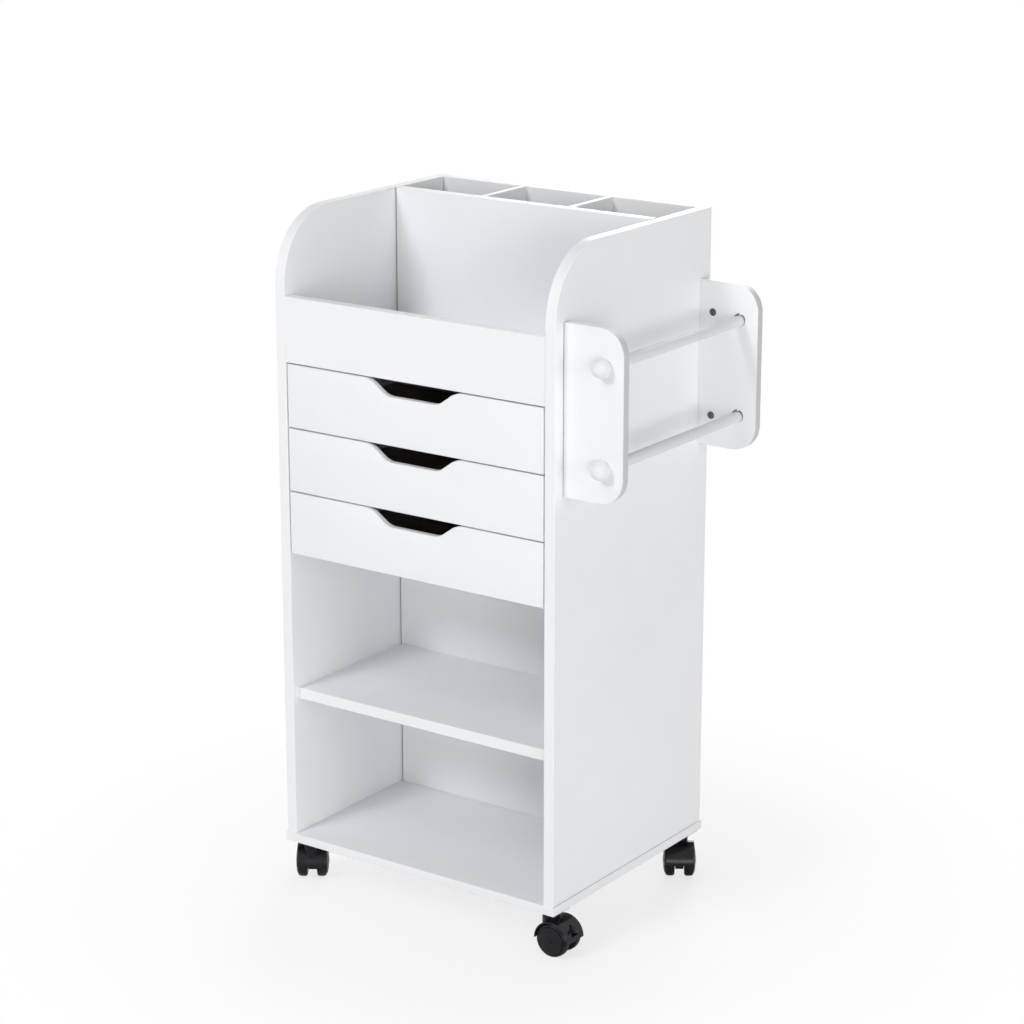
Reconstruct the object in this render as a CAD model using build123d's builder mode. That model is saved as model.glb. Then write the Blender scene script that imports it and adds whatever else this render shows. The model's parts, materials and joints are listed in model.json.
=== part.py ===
from build123d import *
import math
import os

os.makedirs("parts", exist_ok=True)

# Rolling drawer cart of painted board, in millimetres. The front faces -Y, the rack is on the +X side,
# the floor is z = 0 and the origin is under the middle of the whole cart.

# Boards and the carcass
cart_width = 430.0  # over the outer faces of the side panels
cart_depth = 350.0  # front edge to back edge of a side panel
side_height = 837.0
board = 15.0  # side panels, shelf, tray and inner back
thin_board = 12.0  # base, rear back and rack brackets
divider_board = 9.0
edge_ease = 1.0  # rounding along the edges of the painted boards
corner_radius = 92.0  # front top corner of a side panel
base_overhang = 2.0
back_gap = 0.8  # back panels to the side panels

# Compartments
rail_drop = 106.0  # top of the sides down to the top of the tray rail
rail_height = 85.5
tray_depth = 66.0  # top of the rail down to the tray floor
lower_bay_height = 188.0
shelf_setback = 12.0

# Drawers
drawer_count = 3
drawer_front_height = 82.5
drawer_gap = 2.0  # all round a drawer front
drawer_board = 9.0  # drawer fronts
box_board = 12.0
box_height = 58.0
box_rise = 8.0  # box above the lower edge of its front
box_length = 210.0
box_back_gap = 13.0  # box to the inner back
box_gap = 2.5  # box to side panel
bottom_board = 4.0
bottom_rise = 6.0  # drawer bottom above the lower edge of the box
groove_depth = 5.0
groove_clearance = 0.2
notch_width = 134.0  # finger notch, between its shoulders before they are rounded
notch_floor = 80.0
notch_depth = 19.5
notch_shoulder_radius = 24.0
notch_floor_radius = 14.0
runner_height = 12.0
runner_width = 9.0
runner_front_gap = 5.0  # runner to the drawer front
runner_back_gap = 20.0  # runner short of the back of its box
runner_rise = 26.0  # above the lower edge of the box
runner_slack = 1.0  # below the runner, in the groove of the drawer side
running_gap = 0.3  # above the runner that carries the drawer

# Rack on the right side
rack_drop = 89.0  # top of the sides down to the top of the brackets
rack_height = 216.0
rack_reach = 86.0
rack_corner_radius = 34.0
rack_front_inset = 17.0
rack_rear_inset = 13.0
rod_diameter = 14.0
rod_hole = 16.8
rod_reach = 59.0  # side panel to the middle of a rod hole
rod_spacing = 125.0
rod_seat_gap = 0.05  # under a rod that lies in its holes
rod_tail = 1.5  # rod past the rear bracket
knob_diameter = 24.0
knob_flat = 18.5  # across the flat that meets the bracket
knob_gap = 0.3  # knob to front bracket
knob_socket = 13.0
cam_diameter = 10.0
cam_depth = 9.0
cam_reach = 19.5
cam_spacing = 135.0
cam_slot = 1.4
cam_slot_depth = 1.2
fit_clearance = 0.05  # round pins, axles and cams in their bores

# Twin wheel casters
caster_height = 60.5
caster_inset_x = 20.0  # swivel axis in from the outer face of a side panel
caster_front_inset = 25.0  # swivel axis in from the front edge of a side panel
caster_rear_inset = 18.5  # swivel axis in from the back edge of a side panel
caster_trail = 12.0
wheel_diameter = 45.0
wheel_width = 12.0  # across the tread before its edges are rounded
wheel_gap = 13.0  # between the two wheels
wheel_clearance = 0.8  # wheel to hood
wheel_shoulder = 4.5  # rounding of the outer edge of a tread
wheel_inner_round = 3.0
wheel_dome = 4.3  # middle of a wheel past its tread
hood_wall = 2.0
hood_lip = 1.2  # hood past the tread of a wheel
hood_round = 1.5  # outer edges of a hood
web_clearance = 1.0  # wheel to the web between the wheels
lug_diameter = 27.0
axle_diameter = 5.0
axle_grip = 11.0  # axle inside a wheel
boss_diameter = 22.0
kingpin_diameter = 8.0
kingpin_length = 11.0
plate_side = 38.0
plate_corner = 5.0
plate_thickness = 2.5
swivel_gap = 0.5  # boss to plate
screw_grid_width = 28.0  # between the screw holes of a plate, both ways
screw_hole = 4.0
brake_arm = 4.0
brake_gap = 0.4  # arm in its slot
brake_pivot_out = 13.0  # pivot behind the axle
brake_pivot_up = 14.5  # pivot above the axle
brake_pin = 3.0
brake_eye = 7.6
brake_reach = 15.0  # pivot to the tip of the pedal
brake_arm_height = 5.0
pedal_length = 8.0
pedal_width = 10.4
pedal_height = 4.4
pedal_round = 1.8
brake_slot_below = 8.0  # slot under the pivot, for the way down
brake_slot_above = 4.6

# Casters by corner: side, end, direction of the trail in degrees, and whether it has a brake
casters = {
    "front_left": (-1, -1, 125.0, True),
    "front_right": (1, -1, 0.0, True),
    "rear_left": (-1, 1, -60.0, False),
    "rear_right": (1, 1, -57.0, False),
}

# Caster sizes that follow
wheel_radius = wheel_diameter / 2
hood_radius = wheel_radius + wheel_clearance + hood_wall
hood_half = wheel_gap / 2 + wheel_width + hood_lip
web_half = wheel_gap / 2 - web_clearance

# Ball knob: its middle in front of its flat
knob_radius = knob_diameter / 2
knob_offset = math.sqrt(knob_radius**2 - (knob_flat / 2) ** 2)

# Reach of the cart from the middle of the carcass, which sets the origin
front_left_heading = math.radians(casters["front_left"][2])
caster_reach = (
    cart_width / 2
    - caster_inset_x
    + (caster_trail + hood_radius - hood_round) * abs(math.cos(front_left_heading))
    + (hood_half - hood_round) * abs(math.sin(front_left_heading))
    + hood_round
)
left_reach = max(cart_width / 2 + base_overhang, caster_reach)
right_reach = cart_width / 2 + rack_reach
front_reach = cart_depth / 2 - rack_front_inset + knob_gap + knob_offset + knob_radius
back_reach = cart_depth / 2 + base_overhang
cart_x = (left_reach - right_reach) / 2
cart_y = (front_reach - back_reach) / 2

# Planes of the carcass
left = cart_x - cart_width / 2
right = cart_x + cart_width / 2
inner_left = left + board
inner_right = right - board
front = cart_y - cart_depth / 2
back = cart_y + cart_depth / 2
inner_back_front = front + drawer_board + box_length + box_back_gap
inner_back_rear = inner_back_front + board
rear_back_front = back - thin_board
base_top = caster_height + thin_board
side_top = base_top + side_height
rail_top = side_top - rail_drop
rail_bottom = rail_top - rail_height
tray_top = rail_top - tray_depth
shelf_bottom = base_top + lower_bay_height


def save(builder, name):
    """Labels a finished piece and writes it as parts/name.step."""
    builder.part.label = name
    export_step(builder.part, f"parts/{name}.step")


def plank(name, x_span, y_span, z_span, run):
    """Saves a plain board between three pairs of faces, with its edges along one axis eased."""
    with BuildPart() as piece:
        with BuildSketch(Plane.XY.offset(z_span[0])):
            with Locations((sum(x_span) / 2, sum(y_span) / 2)):
                Rectangle(x_span[1] - x_span[0], y_span[1] - y_span[0])
        extrude(amount=z_span[1] - z_span[0])
        fillet(piece.edges().filter_by(run), edge_ease)
    save(piece, name)


def upright(y):
    """Plane at depth y that faces the front, with X to the right and Z up."""
    return Plane.XZ.offset(-y)


# Side panels with the large rounded corner at the front top
for name, x_low in {"side_panel_left": left, "side_panel_right": inner_right}.items():
    with BuildPart() as side_panel:
        with BuildSketch(Plane.YZ.offset(x_low)) as side_outline:
            with Locations((cart_y, base_top + side_height / 2)):
                Rectangle(cart_depth, side_height)
            front_top = side_outline.vertices().group_by(Axis.Y)[-1].sort_by(Axis.X)[0]
            fillet(front_top, corner_radius)
        extrude(amount=board)
        fillet(side_panel.faces().filter_by(Axis.X).edges(), edge_ease)
    save(side_panel, name)

# Seats of the casters, and the base that they carry
seats = {}
for name, (side, end, heading, has_brake) in casters.items():
    seat_x = cart_x + side * (cart_width / 2 - caster_inset_x)
    inset_y = caster_front_inset if end < 0 else caster_rear_inset
    seat_y = cart_y + end * (cart_depth / 2 - inset_y)
    seats[name] = (seat_x, seat_y)
with BuildPart() as base_panel:
    with BuildSketch(Plane.XY.offset(caster_height)):
        with Locations((cart_x, cart_y)):
            Rectangle(cart_width + 2 * base_overhang, cart_depth + 2 * base_overhang)
    extrude(amount=thin_board)
    fillet(base_panel.edges(), edge_ease)
save(base_panel, "base_panel")

# Boards between the sides
inner_span = (inner_left, inner_right)
back_span = (inner_left + back_gap, inner_right - back_gap)
roll_span = (inner_back_rear, rear_back_front)
divider_spacing = (inner_right - inner_left + divider_board) / 3
plank("inner_back_panel", back_span, (inner_back_front, inner_back_rear), (base_top, side_top), Axis.X)
plank("rear_back_panel", back_span, (rear_back_front, back), (base_top, side_top), Axis.X)
for name, side in {"roll_divider_left": -1, "roll_divider_right": 1}.items():
    divider_x = cart_x + side * divider_spacing / 2
    divider_span = (divider_x - divider_board / 2, divider_x + divider_board / 2)
    plank(name, divider_span, roll_span, (base_top, side_top), Axis.Y)
plank("tray_rail", inner_span, (front, front + board), (rail_bottom, rail_top), Axis.X)
tray_span = (front + board, inner_back_front)
plank("tray_floor", inner_span, tray_span, (tray_top - board, tray_top), Axis.X)
shelf_span = (front + shelf_setback, inner_back_front)
plank("middle_shelf", inner_span, shelf_span, (shelf_bottom, shelf_bottom + board), Axis.X)

# Drawers: front, two grooved sides, back and bottom
box_front = front + drawer_board
box_back = box_front + box_length
box_left = inner_left + box_gap
box_right = inner_right - box_gap
bottom_reach = groove_depth - groove_clearance
groove_height = bottom_board + 2 * groove_clearance
bottom_left = box_left + box_board - bottom_reach
bottom_right = box_right - box_board + bottom_reach
bottom_front = box_front - bottom_reach
bottom_back = box_back - box_board + bottom_reach
drawer_bottoms = [
    rail_bottom - (number + 1) * (drawer_front_height + drawer_gap) for number in range(drawer_count)
]

for number, front_bottom in enumerate(drawer_bottoms, start=1):
    front_top_level = front_bottom + drawer_front_height
    box_bottom = front_bottom + box_rise
    bottom_low = box_bottom + bottom_rise
    groove_middle = bottom_low + bottom_board / 2
    runner_low = box_bottom + runner_rise

    with BuildPart() as drawer_front:
        with BuildSketch(upright(box_front)) as front_outline:
            with Locations((cart_x, front_bottom + drawer_front_height / 2)):
                Rectangle(inner_right - inner_left - 2 * drawer_gap, drawer_front_height)
            with BuildLine():
                Polyline(
                    (cart_x - notch_width / 2, front_top_level),
                    (cart_x - notch_floor / 2, front_top_level - notch_depth),
                    (cart_x + notch_floor / 2, front_top_level - notch_depth),
                    (cart_x + notch_width / 2, front_top_level),
                    close=True,
                )
            make_face(mode=Mode.SUBTRACT)
            levels = front_outline.vertices().group_by(Axis.Y)
            fillet(levels[1], notch_floor_radius)
            shoulders = front_outline.vertices().group_by(Axis.Y)[-1].sort_by(Axis.X)[1:3]
            fillet(shoulders, notch_shoulder_radius)
        extrude(amount=drawer_board)
        fillet(drawer_front.faces().filter_by(Axis.Y).edges(), edge_ease)
        with BuildSketch(upright(box_front)):
            with Locations((cart_x, groove_middle)):
                Rectangle(bottom_right - bottom_left + 2 * groove_clearance, groove_height)
        extrude(amount=groove_depth, mode=Mode.SUBTRACT)
    save(drawer_front, f"drawer_{number}_front")

    runner_cut = runner_width - box_gap + running_gap
    for name, outer, inward in (("left", box_left, 1), ("right", box_right, -1)):
        with BuildPart() as drawer_side:
            with BuildSketch(upright(box_back)):
                with Locations((outer + inward * box_board / 2, box_bottom + box_height / 2)):
                    Rectangle(box_board, box_height)
                with Locations((outer + inward * (box_board - groove_depth / 2), groove_middle)):
                    Rectangle(groove_depth, groove_height, mode=Mode.SUBTRACT)
                runner_groove = runner_height + runner_slack + running_gap
                groove_low = runner_low - runner_slack
                with Locations((outer + inward * runner_cut / 2, groove_low + runner_groove / 2)):
                    Rectangle(runner_cut, runner_groove, mode=Mode.SUBTRACT)
            extrude(amount=box_length)
        save(drawer_side, f"drawer_{number}_side_{name}")

    with BuildPart() as drawer_back:
        with BuildSketch(Plane.YZ.offset(box_left + box_board)):
            with Locations((box_back - box_board / 2, box_bottom + box_height / 2)):
                Rectangle(box_board, box_height)
            with Locations((box_back - box_board + groove_depth / 2, groove_middle)):
                Rectangle(groove_depth, groove_height, mode=Mode.SUBTRACT)
        extrude(amount=box_right - box_left - 2 * box_board)
    save(drawer_back, f"drawer_{number}_back")

    with BuildPart() as drawer_bottom:
        with BuildSketch(Plane.XY.offset(bottom_low)):
            with Locations(((bottom_left + bottom_right) / 2, (bottom_front + bottom_back) / 2)):
                Rectangle(bottom_right - bottom_left, bottom_back - bottom_front)
        extrude(amount=bottom_board)
    save(drawer_bottom, f"drawer_{number}_bottom")

# Drawer runners: a strip on each side panel for every drawer
runner_front = box_front + runner_front_gap
runner_length = box_length - runner_front_gap - runner_back_gap
for name, inner, inward in (("left", inner_left, 1), ("right", inner_right, -1)):
    with BuildPart() as drawer_runners:
        with BuildSketch(upright(runner_front + runner_length)):
            for front_bottom in drawer_bottoms:
                runner_middle = front_bottom + box_rise + runner_rise + runner_height / 2
                with Locations((inner + inward * runner_width / 2, runner_middle)):
                    Rectangle(runner_width, runner_height)
        extrude(amount=runner_length)
        chamfer(drawer_runners.faces().filter_by(Axis.Y).edges().filter_by(Axis.Z), edge_ease)
    save(drawer_runners, f"drawer_runners_{name}")

# Rack brackets, with holes for the rods and pockets for the cam locks
rack_top = side_top - rack_drop
rack_middle = rack_top - rack_height / 2
rack_front = front + rack_front_inset
rack_rear = back - rack_rear_inset
rod_x = right + rod_reach
cam_x = right + cam_reach
rod_levels = {"upper": rack_middle + rod_spacing / 2, "lower": rack_middle - rod_spacing / 2}
cam_points = [(cam_x, rack_middle + side * cam_spacing / 2) for side in (1, -1)]
rod_points = [(rod_x, level) for level in rod_levels.values()]

# Each bracket by its rear face, the face with the cam locks, and the depth of a lock along -Y
brackets = {
    "rack_bracket_front": (rack_front + thin_board, rack_front + thin_board, cam_depth),
    "rack_bracket_rear": (rack_rear, rack_rear - thin_board, -cam_depth),
}
for name, (rear_face, cam_face, depth) in brackets.items():
    with BuildPart() as rack_bracket:
        with BuildSketch(upright(rear_face)) as bracket_outline:
            with Locations((right + rack_reach / 2, rack_middle)):
                Rectangle(rack_reach, rack_height)
            fillet(bracket_outline.vertices().group_by(Axis.X)[-1], rack_corner_radius)
        extrude(amount=thin_board)
        fillet(rack_bracket.faces().filter_by(Axis.Y).edges(), edge_ease)
        with BuildSketch(upright(rear_face)):
            with Locations(*rod_points):
                Circle(rod_hole / 2)
        extrude(amount=thin_board, mode=Mode.SUBTRACT)
        with BuildSketch(upright(cam_face)):
            with Locations(*cam_points):
                Circle(cam_diameter / 2 + fit_clearance)
        extrude(amount=depth, mode=Mode.SUBTRACT)
    save(rack_bracket, name)

with BuildPart() as rack_cam_locks:
    for rear_face, cam_face, depth in brackets.values():
        with BuildSketch(upright(cam_face)):
            with Locations(*cam_points):
                Circle(cam_diameter / 2)
        extrude(amount=depth)
        with BuildSketch(upright(cam_face)):
            with Locations(*cam_points):
                Rectangle(cam_diameter - 2 * cam_slot, cam_slot)
                Rectangle(cam_slot, cam_diameter - 2 * cam_slot)
        extrude(amount=math.copysign(cam_slot_depth, depth), mode=Mode.SUBTRACT)
save(rack_cam_locks, "rack_cam_locks")

# Rods that lie low in their holes, and the ball knobs on their front ends
rod_sag = (rod_hole - rod_diameter) / 2 - rod_seat_gap
knob_face = rack_front - knob_gap
rod_front = knob_face - knob_socket
rod_back = rack_rear + rod_tail
for name, level in rod_levels.items():
    rod_z = level - rod_sag
    with BuildPart() as rack_rod:
        with BuildSketch(upright(rod_back)):
            with Locations((rod_x, rod_z)):
                Circle(rod_diameter / 2)
        extrude(amount=rod_back - rod_front)
        chamfer(rack_rod.edges().group_by(Axis.Y)[-1], edge_ease)
    save(rack_rod, f"rack_rod_{name}")

    with BuildPart() as rack_knob:
        with BuildSketch(Plane.YZ.offset(rod_x)):
            with Locations((knob_face - knob_offset, rod_z)):
                Circle(knob_radius)
            with Locations((knob_face, rod_z)):
                above_axis = (Align.MAX, Align.MIN)
                Rectangle(2 * knob_diameter, knob_diameter, align=above_axis, mode=Mode.INTERSECT)
        revolve(axis=Axis((rod_x, knob_face, rod_z), (0, 1, 0)))
        with BuildSketch(upright(knob_face)):
            with Locations((rod_x, rod_z)):
                Circle(rod_diameter / 2 + fit_clearance)
        extrude(amount=knob_socket, mode=Mode.SUBTRACT)
    save(rack_knob, f"rack_knob_{name}")

# Caster levels and the points of a brake, along the trail and up from the floor
plate_low = caster_height - plate_thickness
boss_top = plate_low - swivel_gap
axle_point = (caster_trail, wheel_radius)
pivot_point = (caster_trail + brake_pivot_out, wheel_radius + brake_pivot_up)
bore_radius = axle_diameter / 2 + fit_clearance
brake_half = brake_arm / 2
pin_half = web_half - fit_clearance


def trail_plane(frame):
    """Upright plane along the trail of a caster: x along the trail, y up, seen from its side."""
    return Plane(origin=frame.origin, x_dir=frame.x_dir, z_dir=frame.x_dir.cross(frame.z_dir))


def axle_plane(frame, side):
    """Upright plane along the axle: x out along the axle on one side, y up from the axle."""
    outward = frame.y_dir * side
    middle = frame.from_local_coords((caster_trail, 0, wheel_radius))
    return Plane(origin=middle, x_dir=outward, z_dir=outward.cross(frame.z_dir))


for corner, (side, end, heading, has_brake) in casters.items():
    seat = Plane(origin=(*seats[corner], 0))
    frame = seat.rotated((0, 0, heading))
    along = trail_plane(frame)

    with BuildPart() as caster_plate:
        with BuildSketch(seat.offset(plate_low)):
            RectangleRounded(plate_side, plate_side, plate_corner)
            with GridLocations(screw_grid_width, screw_grid_width, 2, 2):
                Circle(screw_hole / 2, mode=Mode.SUBTRACT)
        extrude(amount=plate_thickness)
        with BuildSketch(seat.offset(plate_low)):
            Circle(kingpin_diameter / 2)
        extrude(amount=-kingpin_length)
    save(caster_plate, f"caster_plate_{corner}")

    with BuildPart() as caster_hood:
        with BuildSketch(along):
            with Locations(axle_point):
                Circle(hood_radius)
                over_axle = (Align.CENTER, Align.MIN)
                Rectangle(2 * hood_radius, hood_radius, align=over_axle, mode=Mode.INTERSECT)
        extrude(amount=hood_half, both=True)
        fillet(caster_hood.edges().filter_by(GeomType.CIRCLE), hood_round)
        with BuildSketch(frame.offset(wheel_radius)):
            Circle(boss_diameter / 2)
        extrude(amount=boss_top - wheel_radius)
        for wheel_side in (1, -1):
            with BuildSketch(along.offset(wheel_side * web_half)):
                with Locations(axle_point):
                    Circle(hood_radius - hood_wall)
            extrude(amount=wheel_side * hood_half, mode=Mode.SUBTRACT)
        with BuildSketch(along):
            with Locations(axle_point):
                Circle(lug_diameter / 2)
        extrude(amount=web_half, both=True)
        with BuildSketch(along):
            with Locations(axle_point):
                Circle(bore_radius)
        extrude(amount=web_half, both=True, mode=Mode.SUBTRACT)
        with BuildSketch(frame.offset(boss_top)):
            Circle(kingpin_diameter / 2 + fit_clearance)
        extrude(amount=-kingpin_length, mode=Mode.SUBTRACT)
        if has_brake:
            with BuildSketch(along):
                slot_left = pivot_point[0] - brake_eye / 2 - brake_gap
                slot_right = caster_trail + hood_radius + hood_wall
                slot_low = pivot_point[1] - brake_slot_below
                slot_high = pivot_point[1] + brake_slot_above
                with Locations(((slot_left + slot_right) / 2, (slot_low + slot_high) / 2)):
                    Rectangle(slot_right - slot_left, slot_high - slot_low)
            extrude(amount=brake_half + brake_gap, both=True, mode=Mode.SUBTRACT)
            with BuildSketch(along):
                mouth_left = pivot_point[0] + brake_reach - pedal_length - brake_gap
                with Locations(((mouth_left + slot_right) / 2, (slot_low + slot_high) / 2)):
                    Rectangle(slot_right - mouth_left, slot_high - slot_low)
            extrude(amount=pedal_width / 2 + brake_gap, both=True, mode=Mode.SUBTRACT)
            with BuildSketch(along):
                with Locations(pivot_point):
                    Circle(brake_pin / 2 + fit_clearance)
            extrude(amount=web_half, both=True, mode=Mode.SUBTRACT)
    save(caster_hood, f"caster_hood_{corner}")

    with BuildPart() as caster_axle:
        with BuildSketch(along):
            with Locations(axle_point):
                Circle(axle_diameter / 2)
        extrude(amount=wheel_gap / 2 + axle_grip, both=True)
    save(caster_axle, f"caster_axle_{corner}")

    for letter, wheel_side in (("a", 1), ("b", -1)):
        section = axle_plane(frame, wheel_side)
        inner_face = wheel_gap / 2
        outer_face = inner_face + wheel_width
        bore_end = inner_face + axle_grip + web_clearance
        dome_radius = (wheel_radius**2 + wheel_dome**2) / (2 * wheel_dome)
        with BuildPart() as caster_wheel:
            with BuildSketch(section) as wheel_profile:
                with BuildLine():
                    Polyline(
                        (outer_face + wheel_dome, 0),
                        (bore_end, 0),
                        (bore_end, bore_radius),
                        (inner_face, bore_radius),
                        (inner_face, wheel_radius),
                        (outer_face, wheel_radius),
                    )
                    RadiusArc((outer_face, wheel_radius), (outer_face + wheel_dome, 0), dome_radius)
                make_face()
                tread_edges = wheel_profile.vertices().group_by(Axis.Y)[-1].sort_by(Axis.X)
                fillet(tread_edges[0], wheel_inner_round)
                fillet(tread_edges[1], wheel_shoulder)
            revolve(axis=Axis(section.origin, section.x_dir))
        save(caster_wheel, f"caster_wheel_{corner}_{letter}")

    if has_brake:
        with BuildPart() as caster_brake:
            with BuildSketch(along):
                with Locations(pivot_point):
                    Circle(brake_eye / 2)
                    level_arm = (Align.MIN, Align.CENTER)
                    Rectangle(brake_reach - pedal_length / 2, brake_arm_height, align=level_arm)
            extrude(amount=brake_half, both=True)
            with BuildSketch(along):
                with Locations((pivot_point[0] + brake_reach - pedal_length / 2, pivot_point[1])):
                    RectangleRounded(pedal_length, pedal_height, pedal_round)
            extrude(amount=pedal_width / 2, both=True)
            with BuildSketch(along):
                with Locations(pivot_point):
                    Circle(brake_pin / 2)
            extrude(amount=pin_half, both=True)
        save(caster_brake, f"caster_brake_{corner}")
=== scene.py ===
"""Looks of a white rolling drawer cart: satin painted boards, a rod rack and black twin-wheel casters."""

import json
import math

import bpy
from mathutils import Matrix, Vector


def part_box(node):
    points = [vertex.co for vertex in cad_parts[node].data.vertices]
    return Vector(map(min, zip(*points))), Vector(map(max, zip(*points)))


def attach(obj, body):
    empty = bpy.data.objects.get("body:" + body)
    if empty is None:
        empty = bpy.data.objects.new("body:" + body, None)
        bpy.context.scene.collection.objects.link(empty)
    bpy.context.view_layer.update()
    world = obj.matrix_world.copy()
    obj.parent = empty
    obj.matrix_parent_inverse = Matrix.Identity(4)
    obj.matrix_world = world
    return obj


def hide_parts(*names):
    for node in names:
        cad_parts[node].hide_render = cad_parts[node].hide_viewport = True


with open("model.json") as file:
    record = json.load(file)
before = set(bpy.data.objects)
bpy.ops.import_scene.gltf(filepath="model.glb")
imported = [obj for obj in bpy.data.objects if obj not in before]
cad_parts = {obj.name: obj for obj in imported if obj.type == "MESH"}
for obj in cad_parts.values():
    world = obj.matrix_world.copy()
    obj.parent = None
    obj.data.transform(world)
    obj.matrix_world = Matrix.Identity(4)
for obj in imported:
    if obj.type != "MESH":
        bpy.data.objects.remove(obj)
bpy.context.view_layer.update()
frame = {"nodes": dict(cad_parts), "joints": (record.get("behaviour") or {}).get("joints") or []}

bl_info = {
    "name": "Rolling drawer cart",
    "version": (1, 0, 0),
    "blender": (4, 5, 0),
    "location": "View3D > Sidebar > Cart",
    "description": "Finishes a packed drawer cart and lights it for a picture",
    "category": "Object",
}

# Names of pieces
CORNERS = ("front_left", "front_right", "rear_left", "rear_right")
BRAKED_CORNERS = ("front_left", "front_right")
LEVELS = ("upper", "lower")
DRAWERS = ("drawer_1", "drawer_2", "drawer_3")
CARCASS_BOARDS = (
    "side_panel_left",
    "side_panel_right",
    "base_panel",
    "rear_back_panel",
    "roll_divider_left",
    "roll_divider_right",
    "tray_rail",
    "tray_floor",
    "middle_shelf",
)

# Sizes in metres, and how pieces are turned and shaded
ROD_SAG = 0.00135  # middle of a rod hole above the middle of its rod
BORE_RADIUS = 0.00843  # reaches just past the wall of a rod hole
# The dark line is a painted shadow, in place of a gap between the boards
GAP_SHADOW_WIDTH = 0.0016  # width of the dark line where two boards meet
NEAR = 0.001  # a vertex this near to a place counts as there
FACING = 0.99  # cosine past which a face looks in a direction
CREASE = math.radians(35)  # edges sharper than this stay sharp
SCREW_TURN = 37  # degrees from one screw of a plate to the next
CORNER_TURN = 11  # degrees more for each letter in the name of a corner
HEAD_DOME = 0.7  # domed share of the height of a screw head
RECESS_TAPER = 0.5  # bottom of a recess against its top

# Plain white, and colours that show only in traces
WHITE = (1, 1, 1, 1)
THIN_PAINT = (0.74, 0.73, 0.71, 1)
# Painted shadow at the bottom of the gap between two boards
GAP_SHADOW = (0.2, 0.2, 0.21, 1)
SCUFFED_NYLON = (0.2, 0.2, 0.21, 1)
RUBBED_ZINC = (0.72, 0.72, 0.73, 1)

# Place and width of each lamp, the point that all of them face, and the rest of the studio
LAMPS = {
    "key": ((-1.5, -6.0, 4.7), 1.4),
    "low": ((4.6, -4.8, 1.0), 1.9),
    "right": ((6.4, -1.2, 1.5), 2.8),
    "top": ((-1.2, -4.1, 5.6), 3.6),
    "left": ((-6.4, 0.8, 2.5), 4.6),
    "back": ((-2.4, 6.6, 2.75), 4.0),
}
LAMP_AIM = Vector((0, 0, 0.45))
FLOOR_RADIUS = 9
FRAME_WIDTH = 36  # millimetres across the camera's frame


class CartFinishes(bpy.types.PropertyGroup):
    """Colours and gloss of the cart's finishes."""

    paint: bpy.props.FloatVectorProperty(
        name="Paint",
        description="Satin paint on the boards",
        subtype="COLOR",
        size=4,
        min=0,
        max=1,
        default=(0.912, 0.92, 0.934, 1),
    )
    paint_shade: bpy.props.FloatVectorProperty(
        name="Paint shade",
        description="Slightly thinner paint in the mottling of the boards",
        subtype="COLOR",
        size=4,
        min=0,
        max=1,
        default=(0.893, 0.902, 0.917, 1),
    )
    paint_gloss: bpy.props.FloatProperty(
        name="Paint roughness",
        description="Roughness of the satin paint",
        subtype="FACTOR",
        min=0,
        max=1,
        default=0.42,
    )
    peel_height: bpy.props.FloatProperty(
        name="Orange peel",
        description="Height of the roller texture in the paint",
        subtype="DISTANCE",
        default=0.00004,
    )
    # Painted shade: a darker colour on the bracket edges that face +X, for the shade that falls on that side
    outer_edge_shade: bpy.props.FloatVectorProperty(
        name="Sawn edge",
        description="Duller paint on the outer edges of the brackets",
        subtype="COLOR",
        size=4,
        min=0,
        max=1,
        default=(0.6, 0.61, 0.625, 1),
    )
    turned_paint: bpy.props.FloatVectorProperty(
        name="Turned paint",
        description="Paint on the rods",
        subtype="COLOR",
        size=4,
        min=0,
        max=1,
        default=(0.76, 0.77, 0.79, 1),
    )
    knob_paint: bpy.props.FloatVectorProperty(
        name="Knob paint",
        description="Paint on the knobs, whiter than on the rods",
        subtype="COLOR",
        size=4,
        min=0,
        max=1,
        default=(0.84, 0.848, 0.865, 1),
    )
    # Bare fibreboard made near black, so that it also stands in for painted shade deep in the rod holes
    bare_board_and_shade: bpy.props.FloatVectorProperty(
        name="Raw board",
        description="Bare fibreboard in the rod holes of the brackets",
        subtype="COLOR",
        size=4,
        min=0,
        max=1,
        default=(0.11, 0.085, 0.062, 1),
    )
    hardboard: bpy.props.FloatVectorProperty(
        name="Hardboard",
        description="Bare brown hardboard of the drawer bottoms",
        subtype="COLOR",
        size=4,
        min=0,
        max=1,
        default=(0.17, 0.1, 0.058, 1),
    )
    runner: bpy.props.FloatVectorProperty(
        name="Runner plastic",
        description="Moulded drawer runners",
        subtype="COLOR",
        size=4,
        min=0,
        max=1,
        default=(0.78, 0.785, 0.78, 1),
    )
    black: bpy.props.FloatVectorProperty(
        name="Caster plastic",
        description="Glossy black nylon of the casters",
        subtype="COLOR",
        size=4,
        min=0,
        max=1,
        default=(0.0062, 0.006, 0.0078, 1),
    )
    dust: bpy.props.FloatVectorProperty(
        name="Dust",
        description="Pale dust on the casters",
        subtype="COLOR",
        size=4,
        min=0,
        max=1,
        default=(0.32, 0.31, 0.30, 1),
    )
    zinc: bpy.props.FloatVectorProperty(
        name="Zinc",
        description="Zinc plating of plates, axles and screws",
        subtype="COLOR",
        size=4,
        min=0,
        max=1,
        default=(0.55, 0.55, 0.55, 1),
    )
    cam_metal: bpy.props.FloatVectorProperty(
        name="Cam metal",
        description="Dull cast metal of the cam locks",
        subtype="COLOR",
        size=4,
        min=0,
        max=1,
        default=(0.16, 0.16, 0.165, 1),
    )


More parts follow.
